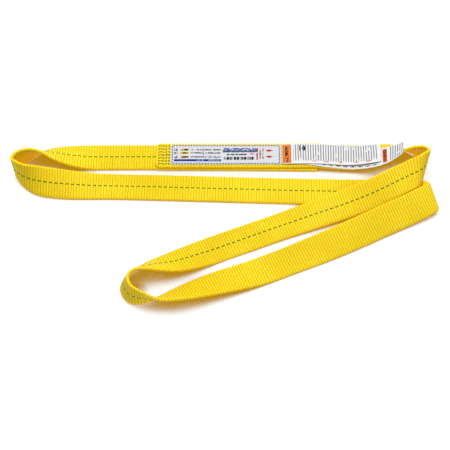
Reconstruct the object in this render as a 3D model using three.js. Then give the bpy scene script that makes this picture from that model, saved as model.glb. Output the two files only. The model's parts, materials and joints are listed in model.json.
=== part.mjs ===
// Endless web sling, 2 in wide: one yellow polyester webbing, its two ends lapped and sewn, laid
// down and folded once. Millimetres, +Z up, resting on z = 0. The origin is the middle of the
// splice's underside. +X runs along the splice and +Y points away from the folded half.
import * as THREE from 'three';

// Driving dimensions
const WEB_WIDTH = 50.8;
const WEB_THICKNESS = 5;
const GAP = 0.3;
const SPLICE_END = 141;
const TAG_LEFT = -115;
const TAG_RIGHT = 78;
const LABEL_WIDTH = 42;
const SHEET = 0.8;
const THREAD = 0.9;
const TRACER_WIDTH = 2.4;
const TRACER_DEPTH = 0.7;
const CORE_WIDTH = 3;
const CORE_DEPTH = 1;
const LEAF_HINGE_X = 88;
const INNER_LEAF_WIDTH = 4;
const INNER_LEAF_SHIFT = -19;

const HALF = WEB_THICKNESS / 2;
const TOP_PLY = WEB_THICKNESS + GAP + HALF;
const THREAD_LEVEL = TOP_PLY + HALF + GAP;
const TAG_LEVEL = THREAD_LEVEL + THREAD + GAP;

const YELLOW = { color: 0xf2cf1d, roughness: 0.7 };
const RED = { color: 0xb3261e, roughness: 0.8 };
const GREEN = { color: 0x3c6b35, roughness: 0.8 };
const SILVER = { color: 0xc9ced4, roughness: 0.45 };
const WHITE = { color: 0xeceff2, roughness: 0.55 };

const UP = new THREE.Vector3(0, 0, 1);
const group = new THREE.Group();

function addMesh(name, geometry, look) {
  const material = new THREE.MeshStandardMaterial({ ...look, metalness: 0 });
  const mesh = new THREE.Mesh(geometry, material);
  mesh.name = name;
  group.add(mesh);
}

// --- The path of the web ---------------------------------------------------------------------
// From the lower end in the splice, round the whole loop, to the upper end. A station is the
// middle of the web: x, y, z and its lean in degrees about its own length. 0 and 360 lie flat with
// the tracer up, 180 lies flat with the tracer down, and 90, 270 and 450 stand on edge. In the
// fold the web turns over, so a station there gives the heading and rise of the line across the
// web instead. The raised ends of the leaves are given in the same way.
const PATH = [
  { name: 'splice_lower', at: [SPLICE_END, -3, HALF], lean: 0 },
  { at: [-SPLICE_END, 0, HALF], lean: 0 },
  { name: 'left_far', at: [-215, 0, HALF], lean: 0 },
  { at: [-250, 0, HALF], lean: 0 },
  { at: [-276, -1, 6], lean: 8 },
  { at: [-302, -1.5, 12], lean: 22 },
  { at: [-322, -2, 17.5], lean: 38 },
  { at: [-340, -4, 23], lean: 58 },
  { at: [-359, -12, 27], lean: 78 },
  { at: [-376, -23, 28], lean: 88 },
  { at: [-382, -36, 28], lean: 92 },
  { at: [-374, -47, 28], lean: 84 },
  { at: [-361, -56, 26.5], lean: 72 },
  { at: [-343, -60.5, 21], lean: 50 },
  { at: [-312, -62, 14], lean: 28 },
  { at: [-284, -62, 9], lean: 16 },
  { at: [-250, -61.5, 4], lean: 5 },
  { name: 'left_near', at: [-215, -61.5, HALF], lean: 0 },
  { at: [-60, -66, HALF], lean: 0 },
  { at: [80, -70.5, HALF], lean: 0 },
  { at: [200, -73, HALF], lean: 0 },
  { name: 'fold_in', at: [290, -75, HALF], lean: 0 },
  { at: [316, -76, 3], heading: 92, rise: 2 },
  { at: [330.5, -79, 5.5], heading: 98, rise: 5 },
  { at: [335, -86, 10.5], heading: 104, rise: 8 },
  { at: [330.5, -94, 15.5], heading: 110, rise: 15 },
  { at: [319, -102, 18.5], heading: 115, rise: 20 },
  { name: 'fold_out', at: [300, -112.7, 18.3], lean: 155 },
  { at: [250, -136, 13.5], lean: 158 },
  { at: [192, -164.3, 10.5], lean: 161 },
  { at: [150, -183, 7], lean: 168 },
  { at: [110, -199.5, 4], lean: 175 },
  { name: 'lower_near', at: [45, -227, 3], lean: 181 },
  { at: [15, -239, 5.5], lean: 187 },
  { at: [-22, -252, 9.5], lean: 194 },
  { at: [-60, -267, 14.5], lean: 206 },
  { at: [-100, -283, 20], lean: 223 },
  { at: [-126, -291.5, 24.5], lean: 238 },
  { at: [-150, -291, 27], lean: 261 },
  { at: [-172, -284, 27.5], lean: 278 },
  { at: [-181.5, -265, 27.5], lean: 286 },
  { at: [-174, -247, 27], lean: 292 },
  { at: [-156, -236, 25.5], lean: 304 },
  { at: [-131, -227.5, 20.5], lean: 322 },
  { at: [-104, -218, 13], lean: 340 },
  { at: [-75, -204.5, 6.5], lean: 352 },
  { at: [-40, -189, HALF], lean: 360 },
  { name: 'lower_far', at: [20, -164.5, HALF], lean: 360 },
  { at: [83, -139, 2.7], lean: 360 },
  { at: [125, -123.5, 5.6], lean: 366 },
  { at: [175, -106, 9.4], lean: 370 },
  { at: [228, -86.5, 17.2], lean: 379 },
  { name: 'bight_in', at: [262, -73, 26], lean: 379 },
  { at: [299, -55, 31], heading: 103, rise: 21 },
  { at: [312.5, -48, 33], heading: 93, rise: 38 },
  { at: [321.5, -37, 32.5], heading: 83, rise: 60 },
  { at: [327, -24, 30], heading: 55, rise: 82 },
  { at: [321.5, -11, 28.5], heading: -60, rise: 84 },
  { name: 'inner_leaf_start', at: [311, -4, 27], lean: 432 },
  { at: [297, 1, 23], lean: 418 },
  { name: 'inner_leaf_end', at: [283, 5, 18], lean: 405 },
  { at: [265, 4, 12], lean: 384 },
  { at: [240, 1, 8], lean: 372 },
  { name: 'bight_out', at: [210, 0, 4.2], lean: 360 },
  { at: [178, 0, 4.2], lean: 360 },
  { at: [160, 0, 6], lean: 360 },
  { name: 'splice_upper', at: [148, 0, TOP_PLY], lean: 360 },
  { at: [130, 0, TOP_PLY], lean: 360 },
  { name: 'end', at: [-SPLICE_END, 0, TOP_PLY], lean: 360 },
];

// The paths of the two outer warning leaves, from the free end back to the sewn end.
const LOWER_LEAF = [
  { at: [287, -8, 43.4], heading: -101, rise: 25 },
  { at: [265, -12.6, 30.3], heading: -96, rise: 16 },
  { at: [240, -12.5, 18.5], heading: -92, rise: 8 },
  { at: [206, -9.5, 10.4], lean: 0 },
  { at: [171, -7, 10.8], lean: 0 },
  { at: [142, -4, 12.5], lean: 0 },
  { at: [118, -0.5, 12.5], lean: 0 },
  { at: [103, 0, 12.2], lean: 0 },
  { at: [LEAF_HINGE_X + GAP, 0, 12.2], lean: 0 },
];
const UPPER_LEAF = [
  { at: [250, -5, 24.5], heading: -92, rise: 8 },
  { at: [225, -4, 17.7], heading: -91, rise: 4 },
  { at: [198, -2.5, 13], lean: 0 },
  { at: [165, -1, 13.2], lean: 0 },
  { at: [142, -0.4, 14.2], lean: 0 },
  { at: [120, 0, 14.2], lean: 0 },
  { at: [LEAF_HINGE_X + GAP, 0, 13.6], lean: 0 },
];

// A track turns stations into two edge curves and gives the web's frame at any length along it.
function makeTrack(stations) {
  const middles = stations.map((s) => new THREE.Vector3(...s.at));
  const middle = new THREE.CatmullRomCurve3(middles);
  const count = stations.length - 1;
  const edges = [-1, 1].map((side) => {
    const points = stations.map((s, i) => {
      const across = acrossWeb(s, middle.getTangent(i / count));
      return middles[i].clone().addScaledVector(across, (side * WEB_WIDTH) / 2);
    });
    return new THREE.CatmullRomCurve3(points);
  });
  return { edges, stations };
}

function acrossWeb(station, travel) {
  if (station.lean === undefined) {
    const heading = THREE.MathUtils.degToRad(station.heading);
    const rise = THREE.MathUtils.degToRad(station.rise);
    const flat = new THREE.Vector3(Math.cos(heading), Math.sin(heading), 0);
    return flat.multiplyScalar(Math.cos(rise)).addScaledVector(UP, Math.sin(rise));
  }
  const lean = THREE.MathUtils.degToRad(station.lean);
  const flat = new THREE.Vector3().crossVectors(UP, travel).normalize();
  return flat.multiplyScalar(Math.cos(lean)).addScaledVector(UP, Math.sin(lean));
}

// The frame at station number u, a fraction between stations being allowed. An edge never dips
// below the level of web that lies flat on the ground.
function frameAt(track, u) {
  const t = u / (track.stations.length - 1);
  const [near, far] = track.edges.map((edge) => edge.getPoint(t));
  near.z = Math.max(near.z, HALF);
  far.z = Math.max(far.z, HALF);
  const [nearGo, farGo] = track.edges.map((edge) => edge.getTangent(t));
  const middle = near.clone().add(far).multiplyScalar(0.5);
  const along = nearGo.add(farGo).normalize();
  const across = far.sub(near).normalize();
  const out = new THREE.Vector3().crossVectors(along, across).normalize();
  return { u, middle, along, across, out };
}

// Frames from station a to station b, one at least every `pace` mm and every `bend` degrees. The
// first and last are drawn in by half the gap, so that neighbours never touch.
function framesBetween(track, a, b, pace, bend) {
  const fine = 24;
  const frames = [];
  let kept = null;
  for (let i = 0; i <= (b - a) * fine; i += 1) {
    const frame = frameAt(track, a + i / fine);
    const ends = i === 0 || i === (b - a) * fine;
    const far = kept && frame.middle.distanceTo(kept.middle) >= pace;
    const turned = kept && turnBetween(kept, frame) >= bend;
    if (ends || far || turned) {
      frames.push(frame);
      kept = frame;
    }
  }
  const first = frames[0];
  const last = frames[frames.length - 1];
  first.middle.addScaledVector(first.along, GAP / 2);
  last.middle.addScaledVector(last.along, -GAP / 2);
  if (frames.length > 2 && last.middle.distanceTo(frames[frames.length - 2].middle) < 1) {
    frames.splice(frames.length - 2, 1);
  }
  return frames;
}

function turnBetween(a, b) {
  const swing = Math.max(a.along.angleTo(b.along), a.across.angleTo(b.across));
  return THREE.MathUtils.radToDeg(swing);
}

// A solid swept through frames. A loop is a list of [across, out]: the outer one runs
// anticlockwise, and a hole runs clockwise. Every side is split along the same diagonal, so that
// solids swept through the same frames stay the same distance apart.
function sweep(frames, outer, holes = []) {
  const loops = [outer, ...holes].map((loop) => loop.map(([x, y]) => new THREE.Vector2(x, y)));
  const ring = loops.flat();
  const positions = [];
  for (const { middle, across, out } of frames) {
    for (const p of ring) {
      const point = middle.clone().addScaledVector(across, p.x).addScaledVector(out, p.y);
      positions.push(point.x, point.y, point.z);
    }
  }
  const index = [];
  const size = ring.length;
  for (let i = 0; i + 1 < frames.length; i += 1) {
    let start = 0;
    for (const loop of loops) {
      loop.forEach((point, j) => {
        const k = (j + 1) % loop.length;
        const here = i * size + start + j;
        const next = i * size + start + k;
        if (loop[k].x < point.x) {
          index.push(here, next, here + size, next, next + size, here + size);
        } else {
          index.push(here, next, next + size, here, next + size, here + size);
        }
      });
      start += loop.length;
    }
  }
  const end = (frames.length - 1) * size;
  for (const [p, q, r] of THREE.ShapeUtils.triangulateShape(loops[0], loops.slice(1))) {
    index.push(r, q, p, p + end, q + end, r + end);
  }
  const geometry = new THREE.BufferGeometry();
  geometry.setAttribute('position', new THREE.Float32BufferAttribute(positions, 3));
  geometry.setIndex(index);
  return geometry;
}

// A rectangular loop about the point [shift, lift].
function rectangle(width, height, lift = 0, shift = 0) {
  const [x, y] = [width / 2, height / 2];
  return [[-x, -y], [x, -y], [x, y], [-x, y]].map(([a, b]) => [shift + a, lift + b]);
}

// --- Webbing, tracer yarn and red core yarns -------------------------------------------------
const GROOVE = TRACER_WIDTH / 2 + GAP;
const GROOVE_FLOOR = HALF - TRACER_DEPTH - 2 * GAP;
const CORE_LIFT = -0.9;
const CHANNEL = CORE_WIDTH / 2 + GAP;
const CUTS = [
  INNER_LEAF_SHIFT - INNER_LEAF_WIDTH / 2,
  INNER_LEAF_SHIFT + INNER_LEAF_WIDTH / 2,
  -CHANNEL,
  CHANNEL,
];
const UNDERSIDE = [-WEB_WIDTH / 2, ...CUTS, WEB_WIDTH / 2];
const WEB_LOOP = [
  ...UNDERSIDE.map((x) => [x, -HALF]),
  [WEB_WIDTH / 2, HALF],
  [GROOVE, HALF],
  [GROOVE, GROOVE_FLOOR],
  [-GROOVE, GROOVE_FLOOR],
  [-GROOVE, HALF],
  [-WEB_WIDTH / 2, HALF],
];
const CORE_CHANNEL = rectangle(2 * CHANNEL, CORE_DEPTH + 2 * GAP, CORE_LIFT).reverse();
const CORE_LOOP = rectangle(CORE_WIDTH, CORE_DEPTH, CORE_LIFT);
const TRACER_LOOP = rectangle(TRACER_WIDTH, TRACER_DEPTH, HALF - GAP - TRACER_DEPTH / 2);

const track = makeTrack(PATH);
const stationOf = (name) => PATH.findIndex((s) => s.name === name);

// Each length of web is one node, with its own lengths of tracer and core.
const LENGTHS = [
  ['far_run', 'splice_lower', 'left_far'],
  ['left_bight', 'left_far', 'left_near'],
  ['near_run', 'left_near', 'fold_in'],
  ['right_fold', 'fold_in', 'fold_out'],
  ['lower_leg', 'fold_out', 'lower_near'],
  ['folded_bight', 'lower_near', 'lower_far'],
  ['upper_leg', 'lower_far', 'bight_in'],
  ['right_bight', 'bight_in', 'bight_out'],
  ['return_run', 'bight_out', 'splice_upper'],
  ['splice_top', 'splice_upper', 'end'],
];
const webFrames = {};
for (const [name, from, to] of LENGTHS) {
  const frames = framesBetween(track, stationOf(from), stationOf(to), 60, 8);
  webFrames[name] = frames;
  addMesh(`web_${name}`, sweep(frames, WEB_LOOP, [CORE_CHANNEL]), YELLOW);
  addMesh(`core_${name}`, sweep(frames, CORE_LOOP), RED);
  addMesh(`tracer_${name}`, sweep(frames, TRACER_LOOP), GREEN);
}

// --- Splice thread ---------------------------------------------------------------------------
// One thread sewn to and fro in long rows on the upper ply.
const ROW_SPACING = 9.5;
const ROWS = 5;
const ROW_END = SPLICE_END - 4;
const THREAD_WIDTH = 1.2;

// The outline of a thread of one width whose middle line turns only square corners.
function threadOutline(line, width) {
  const sides = [1, -1].map((side) => line.map((point, i) => {
    const before = i > 0 ? squareNormal(line[i - 1], point) : null;
    const after = i + 1 < line.length ? squareNormal(point, line[i + 1]) : null;
    const shift = new THREE.Vector2().addScaledVector(before ?? new THREE.Vector2(), 1);
    if (after && !(before && before.equals(after))) {
      shift.add(after);
    }
    return point.clone().addScaledVector(shift, (side * width) / 2);
  }));
  return new THREE.Shape([...sides[0], ...sides[1].reverse()]);
}

function squareNormal(from, to) {
  const along = to.clone().sub(from).normalize();
  return new THREE.Vector2(-along.y, along.x);
}

function slab(shape, bottom, height) {
  const geometry = new THREE.ExtrudeGeometry(shape, { depth: height, bevelEnabled: false, curveSegments: 4 });
  geometry.translate(0, 0, bottom);
  return geometry;
}

const rowLine = [];
for (let row = 0; row < ROWS; row += 1) {
  const y = (row - (ROWS - 1) / 2) * ROW_SPACING;
  const start = row % 2 === 0 ? -ROW_END : ROW_END;
  rowLine.push(new THREE.Vector2(start, y), new THREE.Vector2(-start, y));
}
addMesh('splice_thread', slab(threadOutline(rowLine, THREAD_WIDTH), THREAD_LEVEL, THREAD), GREEN);

// --- Capacity tag and its border thread ------------------------------------------------------
function roundedRectangle(left, right, width, radius) {
  const [low, high] = [-width / 2, width / 2];
  const shape = new THREE.Shape();
  shape.moveTo(left + radius, low);
  shape.lineTo(right - radius, low);
  shape.quadraticCurveTo(right, low, right, low + radius);
  shape.lineTo(right, high - radius);
  shape.quadraticCurveTo(right, high, right - radius, high);
  shape.lineTo(left + radius, high);
  shape.quadraticCurveTo(left, high, left, high - radius);
  shape.lineTo(left, low + radius);
  shape.quadraticCurveTo(left, low, left + radius, low);
  return shape;
}

const TAG_CORNER = 3;
const SEAM_INSET = 2.5;
const tagShape = roundedRectangle(TAG_LEFT, TAG_RIGHT, LABEL_WIDTH, TAG_CORNER);
addMesh('capacity_tag', slab(tagShape, TAG_LEVEL, SHEET), SILVER);

const seamOut = roundedRectangle(
  TAG_LEFT + SEAM_INSET,
  TAG_RIGHT - SEAM_INSET,
  LABEL_WIDTH - 2 * SEAM_INSET,
  TAG_CORNER,
);
const seamIn = roundedRectangle(
  TAG_LEFT + SEAM_INSET + THREAD_WIDTH,
  TAG_RIGHT - SEAM_INSET - THREAD_WIDTH,
  LABEL_WIDTH - 2 * (SEAM_INSET + THREAD_WIDTH),
  TAG_CORNER - THREAD_WIDTH,
);
seamOut.holes.push(seamIn);
addMesh('tag_thread', slab(seamOut, TAG_LEVEL + SHEET + GAP, THREAD), GREEN);

// --- Warning leaves --------------------------------------------------------------------------
// Both outer leaves bend at the end of a sewn tab. The narrow edge of a third one lies low against
// the inner face of the right bight.
const TAB_LEFT = TAG_RIGHT + 1;
const TAB_HEIGHT = 2 * SHEET + GAP;
const LEAF_THREAD_X = (TAB_LEFT + LEAF_HINGE_X) / 2;
const tabShape = roundedRectangle(TAB_LEFT, LEAF_HINGE_X, LABEL_WIDTH, 1);
addMesh('leaf_tab', slab(tabShape, TAG_LEVEL, TAB_HEIGHT), WHITE);

const leafThreadLine = [-1, 1].map((end) => {
  return new THREE.Vector2(LEAF_THREAD_X, end * (LABEL_WIDTH / 2 - SEAM_INSET));
});
const leafThread = slab(threadOutline(leafThreadLine, THREAD_WIDTH), TAG_LEVEL + TAB_HEIGHT + GAP, THREAD);
addMesh('leaf_thread', leafThread, GREEN);

for (const [name, stations] of [['leaf_lower', LOWER_LEAF], ['leaf_upper', UPPER_LEAF]]) {
  const leafTrack = makeTrack(stations);
  const frames = framesBetween(leafTrack, 0, stations.length - 1, 40, 6);
  addMesh(name, sweep(frames, rectangle(LABEL_WIDTH, SHEET)), WHITE);
}

const innerFrames = webFrames.right_bight.filter((frame) => {
  return frame.u >= stationOf('inner_leaf_start') && frame.u <= stationOf('inner_leaf_end');
});
const innerLift = -HALF - GAP - SHEET / 2;
const innerLoop = rectangle(INNER_LEAF_WIDTH, SHEET, innerLift, INNER_LEAF_SHIFT);
addMesh('leaf_inner', sweep(innerFrames, innerLoop), WHITE);

export default group;
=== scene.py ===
import json
import math

import bpy
import numpy as np
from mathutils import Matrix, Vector


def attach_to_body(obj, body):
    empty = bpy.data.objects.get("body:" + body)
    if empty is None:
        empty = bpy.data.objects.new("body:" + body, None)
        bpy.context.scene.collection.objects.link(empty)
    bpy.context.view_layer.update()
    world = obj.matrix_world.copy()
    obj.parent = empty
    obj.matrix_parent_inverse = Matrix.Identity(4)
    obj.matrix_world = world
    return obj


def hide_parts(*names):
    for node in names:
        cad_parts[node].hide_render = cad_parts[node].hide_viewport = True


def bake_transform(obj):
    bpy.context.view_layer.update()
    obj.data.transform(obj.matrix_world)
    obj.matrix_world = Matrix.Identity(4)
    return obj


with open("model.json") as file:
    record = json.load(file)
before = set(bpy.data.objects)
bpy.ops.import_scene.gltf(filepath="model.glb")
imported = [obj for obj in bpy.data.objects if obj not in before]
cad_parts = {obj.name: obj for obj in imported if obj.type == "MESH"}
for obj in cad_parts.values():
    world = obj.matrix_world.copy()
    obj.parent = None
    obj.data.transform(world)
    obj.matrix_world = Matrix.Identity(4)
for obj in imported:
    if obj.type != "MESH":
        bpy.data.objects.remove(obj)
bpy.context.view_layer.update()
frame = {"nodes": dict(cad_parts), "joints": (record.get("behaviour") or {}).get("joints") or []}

# The looks of an endless web sling: ribbed yellow webbing with a tracer line, its splice stitches,
# a capacity tag and warning leaves. All lengths are in metres unless a name says otherwise.

UP = np.array([0.0, 0.0, 1.0])

# Webbing
WIDTH = 0.0508
THICKNESS = 0.005
HALF_WIDTH = WIDTH / 2
HALF_THICKNESS = THICKNESS / 2
RIB_PITCH = 0.0047
RIB_DEPTH = 0.00045
YARN_PITCH = 0.0011

# Tag and leaves. Their CAD solids are thicker than the visible sheets.
LABEL_WIDTH = 0.042
CAD_SHEET = 0.0008
TAG_LEFT = -0.115
TAG_RIGHT = 0.078
LEAF_START = 0.0795


# --- The path of the webbing, read back from the CAD sections ---------------------------------

# How closely a section's sides match their nominal lengths, and how closely a point has to lie on
# the line between two corners.
TOLERANCE = 4e-6
ON_LINE = 2e-6
LENGTHS = [
    "far_run", "left_bight", "near_run", "right_fold", "lower_leg",
    "folded_bight", "upper_leg", "right_bight", "return_run", "splice_top",
]


def unit(v):
    return v / np.linalg.norm(v, axis=-1, keepdims=True)


def corner_points(node):
    """The distinct vertices of a CAD node."""
    mesh = frame["nodes"][node].data
    points = np.array([v.co for v in mesh.vertices])
    return np.unique(np.round(points, 6), axis=0)


def sections_of(node, width=WIDTH, thickness=THICKNESS):
    """The rectangular sections a webbing or sheet was swept through, in no particular order, as
    (middle, direction across with either sign, direction out of the tracer face)."""
    points = corner_points(node)
    apart = np.linalg.norm(points[:, None] - points[None], axis=2)
    wide = np.abs(apart - width) < TOLERANCE
    thick = np.abs(apart - thickness) < TOLERANCE
    skew = np.abs(apart - math.hypot(width, thickness)) < TOLERANCE
    found = {}
    for a, b in zip(*np.where(wide)):
        for c in np.where(thick[a] & skew[b])[0]:
            for d in np.where(thick[b] & skew[a] & wide[c])[0]:
                found[frozenset((a, b, c, d))] = (a, b, c, d)
    sections = []
    for a, b, c, d in found.values():
        # The plain face has more points between its corners than the face with the tracer.
        between = [np.sum(apart[p] + apart[q] < width + ON_LINE) for p, q in ((a, b), (c, d))]
        low, high = ((a, b), (c, d)) if between[0] > between[1] else ((c, d), (a, b))
        middle = points[[a, b, c, d]].mean(axis=0)
        across = unit(points[low[1]] - points[low[0]])
        out = unit(points[list(high)].mean(axis=0) - points[list(low)].mean(axis=0))
        if all(np.linalg.norm(middle - s[0]) > TOLERANCE for s in sections):
            sections.append((middle, across, out))
    return sections


def walk(sections, start):
    """The sections in order, each the nearest to the one before."""
    left, ordered, at = list(sections), [], start
    while left:
        nearest = min(range(len(left)), key=lambda i: np.linalg.norm(left[i][0] - at))
        ordered.append(left.pop(nearest))
        at = ordered[-1][0]
    return ordered


class Ribbon:
    """A band between two smooth edge curves, as functions of the length along its middle."""

    def __init__(self, low, high, first=0.0):
        self.low, self.high = np.array(low), np.array(high)
        middles = (self.low + self.high) / 2
        steps = np.linalg.norm(np.diff(middles, axis=0), axis=1)
        self.s = first + np.concatenate([[0], np.cumsum(steps)])
        self.length = self.s[-1]
        self.slopes = [self._slopes(curve) for curve in (self.low, self.high)]

    def _slopes(self, curve):
        """The slope at each section, from the parabola through it and its neighbours."""
        h = np.diff(self.s)[:, None]
        d = np.diff(curve, axis=0) / h
        inner = (h[:-1] * d[1:] + h[1:] * d[:-1]) / (h[:-1] + h[1:])
        return np.vstack([d[:1], inner, d[-1:]])

    def _curve(self, curve, slopes, s):
        i = np.clip(np.searchsorted(self.s, s, side="right") - 1, 0, len(self.s) - 2)
        h = (self.s[i + 1] - self.s[i])[:, None]
        t = (s - self.s[i])[:, None] / h
        return (
            (2 * t**3 - 3 * t**2 + 1) * curve[i]
            + (t**3 - 2 * t**2 + t) * h * slopes[i]
            + (3 * t**2 - 2 * t**3) * curve[i + 1]
            + (t**3 - t**2) * h * slopes[i + 1]
        )

    def at(self, s):
        """Middles, directions along, across and out, for an array of lengths."""
        s = np.asarray(s, float)
        edges = [self._curve(c, m, s) for c, m in zip((self.low, self.high), self.slopes)]
        step = RIB_PITCH / 4
        around = [
            [self._curve(c, m, s + d) for c, m in zip((self.low, self.high), self.slopes)]
            for d in (-step, step)
        ]
        middle = (edges[0] + edges[1]) / 2
        across = unit(edges[1] - edges[0])
        along = unit(sum(around[1]) - sum(around[0]))
        out = unit(np.cross(along, across))
        return middle, along, across, out


class Path(Ribbon):
    """The webbing, from the lower end in the splice to the upper end."""

    def __init__(self):
        groups = [sections_of("web_" + name) for name in LENGTHS]
        away = np.mean([s[0] for s in groups[1]], axis=0)
        at = max((s[0] for s in groups[0]), key=lambda m: np.linalg.norm(m - away))
        chain, owners = [], []
        for number, group in enumerate(groups):
            for section in walk(group, at):
                chain.append(section)
                owners.append(number)
            at = chain[-1][0]
        middles = np.array([s[0] for s in chain])
        along = unit(np.gradient(middles, axis=0))
        low, high = [], []
        for (middle, across, out), forward in zip(chain, along):
            if np.dot(across, np.cross(out, forward)) < 0:
                across = -across
            low.append(middle - across * HALF_WIDTH)
            high.append(middle + across * HALF_WIDTH)
        # Two neighbouring lengths meet at one section.
        kept_low, kept_high, starts = [], [], [0]
        for i, owner in enumerate(owners):
            if i and owner != owners[i - 1]:
                kept_low[-1] = (kept_low[-1] + low[i]) / 2
                kept_high[-1] = (kept_high[-1] + high[i]) / 2
                starts.append(len(kept_low) - 1)
            else:
                kept_low.append(low[i])
                kept_high.append(high[i])
        super().__init__(kept_low, kept_high)
        self.start = {name: self.s[i] for name, i in zip(LENGTHS, starts)}


path = Path()
joints = {j["name"]: j for j in frame["joints"]}


def hinge_side(joint):
    """A joint's pivot and the level direction square to its axis, away from the side that lifts."""
    pivot = np.array(joints[joint]["pos_m"], float)
    return pivot, unit(np.cross(np.array(joints[joint]["axis"], float), UP))


def farthest(name, direction):
    """The length at which the middle line reaches farthest in a direction, within one length."""
    following = LENGTHS.index(name) + 1
    s = np.linspace(path.start[name], path.start[LENGTHS[following]], 200)
    return s[np.argmax(path.at(s)[0] @ direction)]


# --- Where the visible pieces begin and end, and what they ride on -----------------------------
# A piece that crosses a hinge lists the two bodies, the joint and two distances from the pivot,
# measured away from the side that lifts; it is not bent between them but stays where it lies.

_, fold_side = hinge_side("fold_open")
fold_turn = farthest("right_fold", fold_side)
bight_turn = farthest("right_bight", fold_side)
LEFT_BEND = ("laid_half", "left_loop", "left_bight_lift", 0.0, -0.06)
FOLD_BEND = ("laid_half", "folded_half", "fold_open", 0.005, -0.026)
BIGHT_BEND = ("laid_half", "folded_half", "fold_open", 0.011, -0.07)
FOLDED_BEND = ("folded_half", "folded_loop", "folded_bight_lift", 0.0, -0.06)

# name, first and last length along the webbing, how it rides, the CAD lengths it stands for
STRIPS = [
    ("far_run", 0, path.start["left_bight"], "laid_half", ["far_run"]),
    ("left_bight", path.start["left_bight"], path.start["near_run"], LEFT_BEND, ["left_bight"]),
    ("near_run", path.start["near_run"], fold_turn, "laid_half", ["near_run", "right_fold"]),
    ("right_fold", fold_turn, path.start["lower_leg"], FOLD_BEND, ["right_fold"]),
    ("lower_leg", path.start["lower_leg"], path.start["folded_bight"], "folded_half", ["lower_leg"]),
    ("folded_bight", path.start["folded_bight"], path.start["upper_leg"], FOLDED_BEND,
     ["folded_bight"]),
    ("upper_leg", path.start["upper_leg"], bight_turn, BIGHT_BEND, ["upper_leg", "right_bight"]),
    ("right_bight", bight_turn, path.start["return_run"], "laid_half", ["right_bight"]),
    ("return_run", path.start["return_run"], path.start["splice_top"], "laid_half", ["return_run"]),
    ("splice_top", path.start["splice_top"], path.length, "laid_half", ["splice_top"]),
]


def attach(obj, how):
    """Rides obj on a body; a piece that crosses a hinge only has its placement baked into its mesh.
    """
    if isinstance(how, str):
        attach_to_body(obj, how)
        return
    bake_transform(obj)


def take_part(obj, how, slot, *nodes):
    """Attaches obj and lets it stand for CAD nodes, hiding them. The slot is not used."""
    attach(obj, how)
    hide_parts(*nodes)


# --- Meshes ------------------------------------------------------------------------------------


class Builder:
    """Collects closed tubes into one mesh with a UV map of metres."""

    def __init__(self):
        self.points, self.faces, self.uvs = [], [], []
        self.count = 0

    def tube(self, rings, ring_uvs):
        """Rings of points, each an (n, 3) array, joined into one tube with capped ends."""
        rings, ring_uvs = np.asarray(rings), np.asarray(ring_uvs)
        rows, n = rings.shape[:2]
        base = self.count
        index = base + np.arange(rows * n).reshape(rows, n)
        self.points.append(rings.reshape(-1, 3))
        self.uvs.append(ring_uvs.reshape(-1, 2))
        turned = np.roll(index, -1, axis=1)
        quads = np.stack([index[:-1], turned[:-1], turned[1:], index[1:]], axis=-1)
        self.faces += quads.reshape(-1, 4).tolist()
        self.faces.append(index[0][::-1].tolist())
        self.faces.append(index[-1].tolist())
        self.count += rows * n

    def build(self, name, material, sharp_degrees=60):
        mesh = bpy.data.meshes.new(name)
        points, uvs = np.concatenate(self.points), np.concatenate(self.uvs)
        mesh.from_pydata(points.tolist(), [], self.faces)
        layer = mesh.uv_layers.new(name="length")
        corners = np.zeros(len(mesh.loops), np.int32)
        mesh.loops.foreach_get("vertex_index", corners)
        layer.data.foreach_set("uv", uvs[corners].astype(np.float32).ravel())
        mesh.polygons.foreach_set("use_smooth", [True] * len(mesh.polygons))
        mesh.set_sharp_from_angle(angle=math.radians(sharp_degrees))
        mesh.materials.append(material)
        obj = bpy.data.objects.new(name, mesh)
        bpy.context.scene.collection.objects.link(obj)
        return obj


# Rounded ends stop this share of the way to a point, so that no ring of points shrinks to nothing.
BLUNT = 0.98

# One rib, as how far its surface stands above the groove at steps along it.
RIB_STEPS = [(0.0, 0.0), (0.09, 0.5), (0.22, 0.87), (0.4, 1.0), (0.6, 1.0), (0.78, 0.87), (0.91, 0.5)]
# The webbing's section on one side of the middle: distance across as a share of the half width,
# and height as a share of the half thickness. The edge is rounded where the weft turns back.
FACE_SHARES = [-0.955, -0.8, -0.6, -0.4, -0.2, 0.0, 0.2, 0.4, 0.6, 0.8, 0.955]
EDGE_SHARES = [(0.988, 0.72), (1.0, 0.3), (1.0, -0.3), (0.988, -0.72)]
END_RADIUS = {"far_run": 0.003, "splice_top": 0.009}


def web_ring():
    """The section as (across, height) shares, running anticlockwise seen along the webbing."""
    lower = [(x, -1.0) for x in FACE_SHARES]
    upper = [(x, 1.0) for x in reversed(FACE_SHARES)]
    right = [(x, z) for x, z in reversed(EDGE_SHARES)]
    left = [(-x, z) for x, z in EDGE_SHARES]
    return np.array(lower + right + upper + left)


def rib_lengths(start, end):
    """Lengths along the webbing, and how high the rib is at each."""
    lengths, heights = [], []
    for rib in range(round(start / RIB_PITCH), round(end / RIB_PITCH)):
        for step, height in RIB_STEPS:
            lengths.append((rib + step) * RIB_PITCH)
            heights.append(height)
    lengths.append(round(end / RIB_PITCH) * RIB_PITCH)
    heights.append(0.0)
    return np.array(lengths), np.array(heights)


def narrowed(lengths, name, start, end):
    """The half width at each length, drawn in at the cut corners of the two free ends."""
    half = np.full(len(lengths), HALF_WIDTH)
    if name in END_RADIUS:
        radius = END_RADIUS[name]
        inside = lengths - start if name == "far_run" else end - lengths
        short = np.clip(radius - inside, 0, radius * BLUNT)
        half -= radius - np.sqrt(radius**2 - short**2)
    return half


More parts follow.
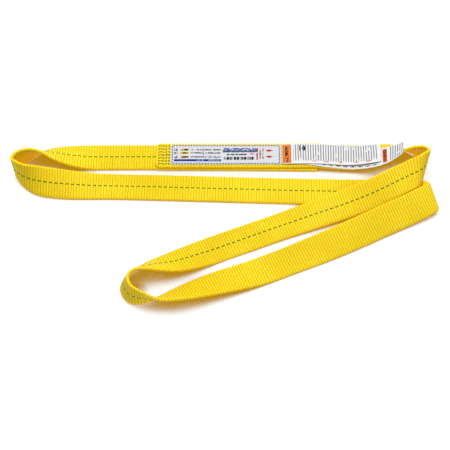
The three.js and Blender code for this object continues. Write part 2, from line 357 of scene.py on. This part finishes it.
def web_strip(name, start, end, material):
    lengths, ribs = rib_lengths(start, end)
    middle, _, across, out = path.at(lengths)
    half = narrowed(lengths, name, lengths[0], lengths[-1])
    shares = web_ring()
    thick = HALF_THICKNESS - RIB_DEPTH * (1 - ribs)
    rings = (
        middle[:, None]
        + across[:, None] * (half[:, None] * shares[:, 0])[..., None]
        + out[:, None] * (thick[:, None] * shares[:, 1])[..., None]
    )
    u = np.broadcast_to(lengths[:, None], rings.shape[:2])
    v = half[:, None] * shares[:, 0]
    builder = Builder()
    builder.tube(rings, np.stack([u, np.broadcast_to(v, u.shape)], axis=-1))
    return builder.build("webbing_" + name, material)


def yarn_rings(centres, side, lift, width, height, swell, sides=8):
    """Rings of an oval yarn about centres; swell scales each ring."""
    angles = np.arange(sides) * 2 * math.pi / sides
    oval = np.stack([np.cos(angles) * width / 2, np.sin(angles) * height / 2], axis=-1)
    swell = np.asarray(swell)[:, None, None]
    return (
        centres[:, None]
        + side[:, None] * oval[:, 0][None, :, None] * swell
        + lift[:, None] * oval[:, 1][None, :, None] * swell
    )


# A float is a short length of yarn that lies on a face, arched, with both its ends sunk in: steps
# along it from end to end, and how high it stands at each.
FLOAT_STEPS = np.linspace(-1, 1, 7)
FLOAT_ARCH = np.sqrt(1 - (FLOAT_STEPS * BLUNT) ** 2)
# The tracer floats over one rib in every two. Its reach is half its length, in ribs, and its tip is
# how thick its ends are as a share of its middle.
TRACER_WIDTH = 0.0020
TRACER_HEIGHT = 0.0011
TRACER_REACH = 0.74
TRACER_SUNK = 0.0009
TRACER_RISE = 0.0008
TRACER_TIP = 0.35


def tracer_strip(name, start, end, material):
    builder = Builder()
    first, last = round(start / RIB_PITCH), round(end / RIB_PITCH)
    for rib in range(first, last):
        if rib % 2:
            continue
        lengths = (rib + 0.5 + FLOAT_STEPS * TRACER_REACH) * RIB_PITCH
        if lengths[0] < 0 or lengths[-1] > path.length:
            continue
        middle, _, across, out = path.at(lengths)
        level = HALF_THICKNESS - TRACER_SUNK + TRACER_RISE * FLOAT_ARCH
        centres = middle + out * level[:, None]
        swell = TRACER_TIP + (1 - TRACER_TIP) * FLOAT_ARCH
        rings = yarn_rings(centres, across, out, TRACER_WIDTH, TRACER_HEIGHT, swell)
        u = np.broadcast_to(lengths[:, None], rings.shape[:2])
        v = np.broadcast_to(np.linspace(0, 1, rings.shape[1]), rings.shape[:2])
        builder.tube(rings, np.stack([u, v * TRACER_WIDTH], axis=-1))
    return builder.build("tracer_yarn_" + name, material)


CORE_WIDTH = 0.003
CORE_HEIGHT = 0.001
CORE_LEVEL = -0.0009
CORE_STEP = 0.004
CORE_END_GAP = 0.0002


def core_strip(name, start, end, material):
    count = max(3, int((end - start) / CORE_STEP))
    lengths = np.linspace(start + CORE_END_GAP, end - CORE_END_GAP, count)
    middle, _, across, out = path.at(lengths)
    centres = middle + out * CORE_LEVEL
    rings = yarn_rings(centres, across, out, CORE_WIDTH, CORE_HEIGHT, np.ones(len(lengths)))
    u = np.broadcast_to(lengths[:, None], rings.shape[:2])
    v = np.broadcast_to(np.linspace(0, 1, rings.shape[1]), rings.shape[:2])
    builder = Builder()
    builder.tube(rings, np.stack([u, v * CORE_WIDTH], axis=-1))
    return builder.build("core_yarn_" + name, material)


# --- Tag, leaves and stitches ------------------------------------------------------------------

WEB_TOP = max(p[2] for p in corner_points("web_splice_top"))
TAG_LEVEL = WEB_TOP + 0.0006
TAG_THICK = 0.0006
TAG_WAVE = 0.00025
LEAF_THICK = 0.00045
SHEET_CORNER = 0.002
SHEET_STEP = 0.002
ACROSS_STEPS = 14
RIPPLE_LENGTH = 0.016
RIPPLE_WIDTH = 0.011


def sheet(name, ribbon, start, end, level, thick, material,
          sides=(-LABEL_WIDTH / 2, LABEL_WIDTH / 2), step=SHEET_STEP, wave=0.0):
    """A thin sheet along a ribbon, between two distances across, with rounded corners."""
    lengths = np.linspace(start, end, int((end - start) / step) + 2)
    middle, _, across, out = ribbon.at(lengths)
    low, high = sides
    corner = min(SHEET_CORNER, (high - low) / 4)
    inside = np.minimum(lengths - start, end - lengths)
    short = np.clip(corner - inside, 0, corner)
    cut = corner - np.sqrt(corner**2 - short**2 * BLUNT)
    share = np.linspace(0, 1, ACROSS_STEPS)
    v = (low + cut)[:, None] * (1 - share) + (high - cut)[:, None] * share
    ripple = wave * np.sin(lengths / RIPPLE_LENGTH)[:, None] * np.cos(v / RIPPLE_WIDTH)
    lift = level + ripple
    under = middle[:, None] + across[:, None] * v[..., None] + out[:, None] * lift[..., None]
    over = under + out[:, None] * thick
    rings = np.concatenate([under, over[:, ::-1]], axis=1)
    v = np.concatenate([v, v[:, ::-1]], axis=1)
    u = np.broadcast_to(lengths[:, None], v.shape)
    builder = Builder()
    builder.tube(rings, np.stack([u, v], axis=-1))
    return builder.build(name, material)


def straight(left, right, level):
    """A ribbon along X, its lengths being the X of its points."""
    half = LABEL_WIDTH / 2
    low = [(x, -half, level) for x in (left, right)]
    high = [(x, half, level) for x in (left, right)]
    return Ribbon(low, high, first=left)


def leaf_ribbon(node, level):
    """A warning leaf from its sewn end, which lies at a level, to its free end."""
    low, high = [(LEAF_START, -LABEL_WIDTH / 2, level)], [(LEAF_START, LABEL_WIDTH / 2, level)]
    sections = sections_of(node, LABEL_WIDTH, CAD_SHEET)
    for middle, across, _ in walk(sections, np.array([LEAF_START, 0, level])):
        across = across * np.sign(across[1])
        low.append(middle - across * LABEL_WIDTH / 2)
        high.append(middle + across * LABEL_WIDTH / 2)
    return Ribbon(low, high, first=LEAF_START)


STITCH_WIDTH = 0.0017
STITCH_HEIGHT = 0.0010
STITCH_SUNK = 0.0004
STITCH_TIP = 0.4


def stitch(builder, at, direction, length):
    """One stitch lying on a level face: a short arched thread with both ends sunk in."""
    direction = unit(np.array([*direction, 0.0]))
    side = np.cross(UP, direction)
    along = FLOAT_STEPS * length / 2
    lift = STITCH_SUNK * (FLOAT_ARCH - 1)
    centres = at + direction * along[:, None] + UP * lift[:, None]
    sides = np.tile(side, (len(FLOAT_STEPS), 1))
    ups = np.tile(UP, (len(FLOAT_STEPS), 1))
    swell = STITCH_TIP + (1 - STITCH_TIP) * FLOAT_ARCH
    rings = yarn_rings(centres, sides, ups, STITCH_WIDTH, STITCH_HEIGHT, swell, sides=6)
    u = np.broadcast_to(along[:, None], rings.shape[:2])
    v = np.broadcast_to(np.linspace(0, STITCH_WIDTH, rings.shape[1]), rings.shape[:2])
    builder.tube(rings, np.stack([u, v], axis=-1))


def stitch_row(builder, start, end, pitch, length, level, slant=0.0):
    """Stitches from one point to another in plan, slanted to either side in turn."""
    start, end = np.array(start), np.array(end)
    span = np.linalg.norm(end - start)
    along = (end - start) / span
    side = np.array([-along[1], along[0]])
    count = int(span / pitch)
    for number in range(count):
        x, y = start + along * (number + 0.5) * span / count
        lean = slant * (-1) ** number
        stitch(builder, np.array([x, y, level]), along + side * lean, length)


# --- Materials ---------------------------------------------------------------------------------


class Nodes:
    """A material's node tree, with short ways to write arithmetic on its values."""

    def __init__(self, name):
        self.material = bpy.data.materials.new(name)
        self.material.use_nodes = True
        self.tree = self.material.node_tree
        self.shader = self.tree.nodes["Principled BSDF"]

    def put(self, target, value):
        if isinstance(value, bpy.types.NodeSocket):
            self.tree.links.new(value, target)
        elif isinstance(value, tuple):
            target.default_value = (*value, 1.0)
        else:
            target.default_value = value

    def math(self, operation, a, b=0.0):
        node = self.tree.nodes.new("ShaderNodeMath")
        node.operation = operation
        self.put(node.inputs[0], a)
        self.put(node.inputs[1], b)
        return node.outputs[0]

    def within(self, value, low, high):
        """1 where a value lies between two limits, else 0."""
        inside = self.math("COMPARE", value, (low + high) / 2)
        inside.node.inputs[2].default_value = (high - low) / 2
        return inside

    def mix(self, share, a, b):
        node = self.tree.nodes.new("ShaderNodeMix")
        node.data_type = "RGBA"
        self.put(node.inputs[0], share)
        self.put(node.inputs[6], a)
        self.put(node.inputs[7], b)
        return node.outputs[2]

    def ramp(self, value, low, high):
        """0 below low, 1 above high, smooth between them."""
        node = self.tree.nodes.new("ShaderNodeMapRange")
        node.interpolation_type = "SMOOTHSTEP"
        self.put(node.inputs["Value"], value)
        self.put(node.inputs["From Min"], low)
        self.put(node.inputs["From Max"], high)
        return node.outputs["Result"]

    def uv(self):
        node = self.tree.nodes.new("ShaderNodeUVMap")
        node.uv_map = "length"
        split = self.tree.nodes.new("ShaderNodeSeparateXYZ")
        self.tree.links.new(node.outputs[0], split.inputs[0])
        return split.outputs[0], split.outputs[1]

    def noise(self, scale, detail):
        place = self.tree.nodes.new("ShaderNodeTexCoord")
        node = self.tree.nodes.new("ShaderNodeTexNoise")
        node.inputs["Scale"].default_value = scale
        node.inputs["Detail"].default_value = detail
        self.tree.links.new(place.outputs["Object"], node.inputs["Vector"])
        return node.outputs["Fac"]

    def openness(self, reach):
        """The share of directions out of the surface that meet nothing within a reach."""
        node = self.tree.nodes.new("ShaderNodeAmbientOcclusion")
        node.samples = 8
        node.inputs["Distance"].default_value = reach
        return node.outputs["AO"]

    def bump(self, height, strength, distance):
        node = self.tree.nodes.new("ShaderNodeBump")
        node.inputs["Strength"].default_value = strength
        node.inputs["Distance"].default_value = distance
        self.tree.links.new(height, node.inputs["Height"])
        self.tree.links.new(node.outputs[0], self.shader.inputs["Normal"])

    def glow(self, color, strength):
        self.put(self.shader.inputs["Emission Color"], color)
        self.put(self.shader.inputs["Emission Strength"], strength)

    def finish(self, color, roughness, specular):
        self.put(self.shader.inputs["Base Color"], color)
        self.put(self.shader.inputs["Roughness"], roughness)
        self.shader.inputs["Specular IOR Level"].default_value = specular
        return self.material


YELLOW_RIB = (0.62, 0.46, 0.003)
# A deep yellow for the grooves and the gaps between yarns: painted shade.
SHADED_YELLOW = (0.36, 0.22, 0.001)
YELLOW_PALE = (0.72, 0.54, 0.012)
YELLOW_GLOW = (0.40, 0.16, 0.0)
GLOW_REACH = 0.05
EDGE_REACH = 0.0022
# How strongly the grooves and the gaps between yarns are darkened with painted shade, and how much
# paler the edges are.
GROOVE_SHADING = 0.85
GAP_SHADING = 0.3
EDGE_TINT = 0.35
# Woven yarn and printed film are both only slightly shiny.
SPECULAR = 0.1


def web_material():
    n = Nodes("web")
    u, v = n.uv()
    ribs = n.math("DIVIDE", u, RIB_PITCH)
    phase = n.math("FRACT", ribs)
    # 1 in the groove between two ribs, 0 over the rib.
    from_middle = n.math("ABSOLUTE", n.math("SUBTRACT", phase, 0.5))
    groove = n.ramp(from_middle, 0.3, 0.5)
    # Warp yarns run along the webbing and pass over every other rib.
    number = n.math("FLOOR", ribs)
    shift = n.math("MULTIPLY", n.math("MODULO", number, 2.0), 0.5)
    yarns = n.math("FRACT", n.math("ADD", n.math("DIVIDE", v, YARN_PITCH), shift))
    yarn = n.ramp(n.math("ABSOLUTE", n.math("SUBTRACT", yarns, 0.5)), 0.5, 0.25)
    broad = n.noise(9.0, 3.0)
    fine = n.noise(900.0, 2.0)
    tone = n.mix(n.ramp(broad, 0.3, 0.7), YELLOW_RIB, YELLOW_PALE)
    # The grooves and the gaps between the warp yarns are darkened towards a deep yellow: painted
    # shade in the recesses.
    tone = n.mix(n.math("MULTIPLY", groove, GROOVE_SHADING), tone, SHADED_YELLOW)
    gaps = n.math("MULTIPLY", n.math("SUBTRACT", 1.0, yarn), GAP_SHADING)
    tone = n.mix(gaps, tone, SHADED_YELLOW)
    # Paler towards both edges.
    edge = n.ramp(n.math("ABSOLUTE", v), HALF_WIDTH - EDGE_REACH, HALF_WIDTH)
    tone = n.mix(n.math("MULTIPLY", edge, EDGE_TINT), tone, YELLOW_PALE)
    height = n.math("ADD", n.math("MULTIPLY", yarn, 0.6), n.math("MULTIPLY", fine, 0.5))
    n.bump(height, 0.5, 0.0003)
    rough = n.math("ADD", n.math("MULTIPLY", fine, 0.2), 0.5)
    # Faces with something close in front of them glow golden, as if lit by other webbing, but not
    # where they touch it.
    openness = n.openness(GLOW_REACH)
    facing = n.math("SUBTRACT", 1.0, n.ramp(openness, 0.25, 0.6))
    glow = n.math("MULTIPLY", facing, n.ramp(openness, 0.05, 0.25))
    n.glow(YELLOW_GLOW, glow)
    # Some light passes through the yarns and comes out golden.
    n.shader.inputs["Subsurface Weight"].default_value = 0.5
    n.shader.inputs["Subsurface Radius"].default_value = (1.0, 0.6, 0.02)
    n.shader.inputs["Subsurface Scale"].default_value = 0.006
    return n.finish(tone, rough, specular=SPECULAR)


def yarn_material(name, color, dark, twist):
    """A twisted yarn: slanted strands along its length."""
    n = Nodes(name)
    u, v = n.uv()
    slant = n.math("ADD", n.math("DIVIDE", u, twist), n.math("DIVIDE", v, twist * 2))
    strand = n.math("ABSOLUTE", n.math("SUBTRACT", n.math("FRACT", slant), 0.5))
    share = n.ramp(strand, 0.5, 0.2)
    fuzz = n.noise(1500.0, 2.0)
    # Darker where the strands meet: painted shade in the crevices between them. The fuzz darkens at
    # random.
    tone = n.mix(share, dark, color)
    tone = n.mix(n.math("MULTIPLY", fuzz, 0.3), tone, dark)
    n.bump(share, 0.6, 0.0003)
    rough = n.math("ADD", n.math("MULTIPLY", fuzz, 0.2), 0.6)
    return n.finish(tone, rough, specular=SPECULAR)


YARN_TWIST = 0.0012
THREAD_TWIST = 0.0009
GREENS = (0.004, 0.14, 0.004), (0.001, 0.04, 0.001)
REDS = (0.5, 0.02, 0.015), (0.2, 0.01, 0.01)
GREY_GREENS = (0.03, 0.065, 0.035), (0.01, 0.025, 0.02)
NEAR_BLACKS = (0.01, 0.014, 0.025), (0.004, 0.005, 0.01)

WEB = web_material()
TRACER = yarn_material("tracer_yarn", *GREENS, YARN_TWIST)
CORE = yarn_material("core_yarn", *REDS, YARN_TWIST)
SPLICE_THREAD = yarn_material("splice_thread", *GREY_GREENS, THREAD_TWIST)
SEAM_THREAD = yarn_material("seam_thread", *NEAR_BLACKS, THREAD_TWIST)

# The print on the tag and leaves is made of generic fields, none of which can be read; one row of
# bars on the lower leaf also stands for painted shadow. A field is its pattern, left, right, low and
# high limits in mm, and its colour.
GREY = (0.05, 0.052, 0.06)
ROW_GREY = (0.10, 0.10, 0.11)
INK = (0.003, 0.003, 0.005)
NAVY = (0.003, 0.015, 0.15)
SLATE = (0.03, 0.05, 0.14)
PALE_SLATE = (0.16, 0.22, 0.36)
PALEST_SLATE = (0.20, 0.27, 0.40)
RED = (0.28, 0.004, 0.012)
PINK = (0.45, 0.12, 0.16)
ORANGE = (0.50, 0.125, 0.01)
DEEP_ORANGE = (0.48, 0.08, 0.008)
BROWN = (0.12, 0.01, 0.004)
FIELD_YELLOW = (0.55, 0.38, 0.01)
TAG_ROWS = [10.3, 3.4, -5.3]
TAG_FIELDS = [
    ("solid", -58.1, -57.2, -8, 13.5, GREY),
    ("solid", -109, -27, -14.6, -9.9, NAVY),
    ("marks", -104, -88, -13, -10.7, SLATE),
    ("marks", -70, -56, -13, -10.7, PALE_SLATE),
    ("marks", -50, -30, -13, -10.7, PALEST_SLATE),
    ("solid", -22, 37, 5.5, 8, SLATE),
    ("marks", -24, 38, 4.5, 14, SLATE),
    ("marks", -17, 18, -1.3, 1.5, INK),
    ("marks", 24, 31, -1.0, 3.0, PINK),
    ("bars", -22, 31, -11.3, -5.0, INK),
    ("marks", 34.8, 37.4, -11, 13, RED),
    ("marks", 40.2, 42.6, -9, 12, GREY),
    ("marks", 45.3, 47.7, -9, 13, RED),
    ("lozenge", 50, 64, 5.9, 11.1, RED),
    ("lozenge", 50, 64, -7.1, -1.9, RED),
]
for row in TAG_ROWS:
    TAG_FIELDS += [
        ("marks", -109, -103, row - 2.5, row + 2.5, GREY),
        ("solid", -98, -83, row - 2.2, row + 2.2, FIELD_YELLOW),
        ("marks", -97, -84, row - 1.9, row + 1.9, INK),
        ("marks", -80, -58.5, row - 1.4, row + 1.4, GREY),
        ("marks", -56, -28, row - 1.4, row + 1.4, GREY),
    ]
UPPER_FIELDS = [
    ("solid", 80.5, 95.5, -19.5, 19.5, INK),
    ("solid", 81, 95, -19, 19, ORANGE),
    ("marks", 85.5, 90.5, -13, 15, INK),
    ("lozenge", 86, 91, -17.5, -13.5, INK),
    ("solid", 110, 112.5, 6, 17, INK),
    ("lozenge", 114, 122, 5, 18, INK),
    ("rows", 99, 247, -15, 19.5, ROW_GREY),
]
for left in (130, 152, 178, 205, 226):
    UPPER_FIELDS.append(("marks", left, left + 9, -17.5, -15, ORANGE))
LOWER_FIELDS = [
    ("rows", 268, 300, -20, 20, ROW_GREY),
    ("solid", 256, 264, -17, 17, DEEP_ORANGE),
    ("marks", 257.5, 262.5, -16, 16, BROWN),
    # Dark bars along the strip of the lower leaf that shows past the upper leaf's near edge: partly
    # print, partly painted shadow of that edge.
    ("bars", 130, 245, -17.6, -15.4, INK),
]
# How far apart the printed rows and bars are, in mm, and the shares of that which they fill.
ROW_PITCH = 4.4
ROW_SHARE = 0.4
BAR_PITCH = 4.2
BAR_SHARE = 0.56
FILM_ROUGHNESS = 0.5


def print_material(name, base, fields, glow=0.0):
    """A satin film with printed fields. Glow is how strongly the film shines in its base colour, as
    painted light.
    """
    n = Nodes(name)
    n.glow(base, glow)
    u, v = (n.math("MULTIPLY", metres, 1000.0) for metres in n.uv())
    speckle = n.ramp(n.noise(330.0, 1.0), 0.40, 0.46)
    breaks = n.ramp(n.noise(110.0, 2.0), 0.30, 0.42)
    rows = n.math("COMPARE", n.math("FRACT", n.math("DIVIDE", u, ROW_PITCH)), 0.5)
    rows.node.inputs[2].default_value = ROW_SHARE / 2
    # The bars are of uneven width.
    sway = n.math("MULTIPLY", n.math("SINE", u), 0.3)
    uneven = n.math("ADD", n.math("DIVIDE", u, BAR_PITCH), sway)
    bars = n.math("COMPARE", n.math("FRACT", uneven), 0.5)
    bars.node.inputs[2].default_value = BAR_SHARE / 2
    patterns = {
        "marks": speckle,
        "rows": n.math("MULTIPLY", rows, n.math("MULTIPLY", breaks, 0.9)),
        "bars": bars,
    }
    soiled = tuple(c * 0.8 for c in base)
    tone = n.mix(n.math("MULTIPLY", n.noise(60.0, 3.0), 0.5), base, soiled)
    for pattern, left, right, low, high, color in fields:
        if pattern == "lozenge":
            x = n.math("DIVIDE", n.math("SUBTRACT", u, (left + right) / 2), (right - left) / 2)
            y = n.math("DIVIDE", n.math("SUBTRACT", v, (low + high) / 2), (high - low) / 2)
            reach = n.math("ADD", n.math("ABSOLUTE", x), n.math("ABSOLUTE", y))
            share = n.math("LESS_THAN", reach, 1.0)
        else:
            share = n.math("MULTIPLY", n.within(u, left, right), n.within(v, low, high))
        if pattern in patterns:
            share = n.math("MULTIPLY", share, patterns[pattern])
        tone = n.mix(share, tone, color)
    n.bump(n.noise(90.0, 2.0), 0.25, 0.0008)
    return n.finish(tone, FILM_ROUGHNESS, specular=SPECULAR)


TAG_WHITE = (0.45, 0.455, 0.47)
LEAF_WHITE = (0.54, 0.545, 0.55)
# The inner leaf is whiter than the other leaves and glows: painted light that keeps it bright in the
# shade inside the bight.
INNER_WHITE = (0.9, 0.87, 0.84)
INNER_PAINTED_LIGHT = 0.6

TAG_FILM = print_material("tag_film", TAG_WHITE, TAG_FIELDS)
UPPER_FILM = print_material("upper_leaf_film", LEAF_WHITE, UPPER_FIELDS)
LOWER_FILM = print_material("lower_leaf_film", LEAF_WHITE, LOWER_FIELDS)
INNER_FILM = print_material("inner_leaf_film", INNER_WHITE, [], glow=INNER_PAINTED_LIGHT)


# --- The pieces --------------------------------------------------------------------------------


def webbing():
    """Each stretch of webbing, with its tracer and its core yarns."""
    for name, start, end, how, lengths in STRIPS:
        web = web_strip(name, start, end, WEB)
        tracer = tracer_strip(name, start, end, TRACER)
        core = core_strip(name, start, end, CORE)
        take_part(web, how, "web", *("web_" + length for length in lengths))
        take_part(tracer, how, "tracer_yarn", *("tracer_" + length for length in lengths))
        take_part(core, how, "core_yarn", *("core_" + length for length in lengths))


# Rows of small stitches hold the tag and the leaves.
SEAM_INSET = 0.003
SEAM_PITCH = 0.0050
SEAM_LENGTH = 0.0036
SEAM_SLANT = 0.3
SEAM_REACH = LABEL_WIDTH / 2 - SEAM_INSET * 0.7
TAG_SEAM_LEVEL = TAG_LEVEL + TAG_THICK + 0.0003


def tag():
    """The capacity tag, with the thread round its border."""
    ribbon = straight(TAG_LEFT, TAG_RIGHT, TAG_LEVEL)
    film = sheet("tag", ribbon, TAG_LEFT, TAG_RIGHT, 0.0, TAG_THICK, TAG_FILM, wave=TAG_WAVE)
    take_part(film, "laid_half", "tag", "capacity_tag")
    left, right = TAG_LEFT + SEAM_INSET, TAG_RIGHT - SEAM_INSET
    corners = [(left, -SEAM_REACH), (right, -SEAM_REACH), (right, SEAM_REACH), (left, SEAM_REACH)]
    border = Builder()
    for start, end in zip(corners, corners[1:] + corners[:1]):
        stitch_row(border, start, end, SEAM_PITCH, SEAM_LENGTH, TAG_SEAM_LEVEL, slant=SEAM_SLANT)
    take_part(border.build("tag_seam", SEAM_THREAD), "laid_half", "thread", "tag_thread")


SPLICE_ROWS = 7
ROW_REACH = 0.0190
ROW_END = 0.137
ROW_LEVEL = WEB_TOP + 0.0002
SPLICE_PITCH = 0.0054
SPLICE_STITCH = 0.0042
SPLICE_SLANT = 0.45


def splice():
    """The long rows of stitches through both plies of the splice."""
    rows = Builder()
    for y in np.linspace(-ROW_REACH, ROW_REACH, SPLICE_ROWS):
        ends = (-ROW_END, y), (ROW_END, y)
        stitch_row(rows, *ends, SPLICE_PITCH, SPLICE_STITCH, ROW_LEVEL, slant=SPLICE_SLANT)
    seam = rows.build("splice_seam", SPLICE_THREAD)
    take_part(seam, "laid_half", "thread", "splice_thread")


# The leaves turn just past the sewn tab they begin in.
UPPER_LEAF_LEVEL = WEB_TOP + 0.0016
LOWER_LEAF_LEVEL = WEB_TOP + 0.0009
LEAF_STEP = 0.0018
LEAF_SEAM = 0.0835
LEAF_SEAM_LEVEL = WEB_TOP + 0.0024


def leaf(name, node, level, film):
    ribbon = leaf_ribbon(node, level)
    piece = sheet(name, ribbon, LEAF_START, ribbon.length, 0.0, LEAF_THICK, film, step=LEAF_STEP)
    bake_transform(piece)
    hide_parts(node, "leaf_tab")


def leaf_stitches():
    """The row of stitches across the leaves' sewn end."""
    row = Builder()
    ends = (LEAF_SEAM, -SEAM_REACH), (LEAF_SEAM, SEAM_REACH)
    stitch_row(row, *ends, SEAM_PITCH, SEAM_LENGTH, LEAF_SEAM_LEVEL)
    take_part(row.build("leaf_seam", SEAM_THREAD), "laid_half", "thread", "leaf_thread")


INNER_LEAF_SIDES = (-0.021, -0.017)
INNER_LEAF_GAP = 0.0003
INNER_LEAF_SAMPLES = 600
# How much being far from a place counts against it, next to being ahead of it or behind it.
NEARNESS = 1 / 50


def inner_leaf():
    """The narrow edge of a third leaf against the inner face of the right bight. It covers the
    lengths of the webbing that its CAD solid lies beside."""
    around = path.start["right_bight"], path.start["return_run"]
    lengths = np.linspace(*around, INNER_LEAF_SAMPLES)
    middles, alongs = path.at(lengths)[:2]
    from_middles = corner_points("leaf_inner")[:, None] - middles[None]
    ahead = np.abs(np.einsum("psk,sk->ps", from_middles, alongs))
    far = np.linalg.norm(from_middles, axis=2)
    beside = lengths[np.argmin(ahead + far * NEARNESS, axis=1)]
    level = -HALF_THICKNESS - INNER_LEAF_GAP - LEAF_THICK
    piece = sheet("inner_leaf", path, beside.min(), beside.max(), level, LEAF_THICK, INNER_FILM,
                  sides=INNER_LEAF_SIDES)
    take_part(piece, "laid_half", "leaf", "leaf_inner")


webbing()
tag()
splice()
leaf("upper_leaf", "leaf_upper", UPPER_LEAF_LEVEL, UPPER_FILM)
leaf("lower_leaf", "leaf_lower", LOWER_LEAF_LEVEL, LOWER_FILM)
leaf_stitches()
inner_leaf()

# --- Stage, light and camera --------------------------------------------------------------------

WHITE = (1.0, 1.0, 1.0)
FLOOR_REACH = 6.0
FLOOR_LEVEL = -0.0002
FLOOR_COLOR = (0.06, 0.05, 0.02)
FLOOR_ROUGHNESS = 0.8
# The floor shines white, and golden where it is shut in by webbing: the colour, how near the
# webbing has to be, and the open shares at which the floor is all golden and all white.
FLOOR_SHADE = (0.44, 0.22, 0.001)
FLOOR_SHADE_REACH = 0.04
FLOOR_SHADED = 0.48
FLOOR_CLEAR = 0.68


def stage():
    mesh = bpy.data.meshes.new("floor")
    corners = [(-1, -1), (1, -1), (1, 1), (-1, 1)]
    points = [(x * FLOOR_REACH, y * FLOOR_REACH, FLOOR_LEVEL) for x, y in corners]
    mesh.from_pydata(points, [], [(0, 1, 2, 3)])
    n = Nodes("floor")
    open_share = n.ramp(n.openness(FLOOR_SHADE_REACH), FLOOR_SHADED, FLOOR_CLEAR)
    n.glow(n.mix(open_share, FLOOR_SHADE, WHITE), 1.0)
    mesh.materials.append(n.finish(FLOOR_COLOR, FLOOR_ROUGHNESS, specular=0.0))
    floor = bpy.data.objects.new("floor", mesh)
    bpy.context.scene.collection.objects.link(floor)


def area_light(name, place, aim, size, power):
    data = bpy.data.lights.new(name, "AREA")
    data.shape = "DISK"
    data.size = size
    data.energy = power
    light = bpy.data.objects.new(name, data)
    light.location = place
    light.rotation_euler = (Vector(aim) - Vector(place)).to_track_quat("-Z", "Y").to_euler()
    bpy.context.scene.collection.objects.link(light)


WORLD_STRENGTH = 0.75
KEY_PLACE = (0.0, 0.4, 1.9)
KEY_AIM = (0.0, -0.1, 0.0)
KEY_SIZE = 0.7
KEY_WATTS = 40


def studio():
    world = bpy.data.worlds.new("studio")
    world.use_nodes = True
    background = world.node_tree.nodes["Background"]
    background.inputs["Color"].default_value = (*WHITE, 1.0)
    background.inputs["Strength"].default_value = WORLD_STRENGTH
    bpy.context.scene.world = world
    area_light("key", KEY_PLACE, KEY_AIM, KEY_SIZE, KEY_WATTS)


CAMERA_TARGET = Vector((-0.020, -0.138, 0.0))
CAMERA_ELEVATION = math.radians(58)
CAMERA_DISTANCE = 1.86
CAMERA_FIELD = math.radians(23.1)
CAMERA_SIGHT = 50


def camera():
    data = bpy.data.cameras.new("camera")
    data.angle = CAMERA_FIELD
    data.clip_end = CAMERA_SIGHT
    obj = bpy.data.objects.new("camera", data)
    back = Vector((0, -math.cos(CAMERA_ELEVATION), math.sin(CAMERA_ELEVATION)))
    obj.location = CAMERA_TARGET + back * CAMERA_DISTANCE
    obj.rotation_euler = (-back).to_track_quat("-Z", "Y").to_euler()
    bpy.context.scene.collection.objects.link(obj)
    bpy.context.scene.camera = obj


stage()
studio()
camera()
bpy.context.scene.view_settings.view_transform = "Standard"

bpy.context.view_layer.update()
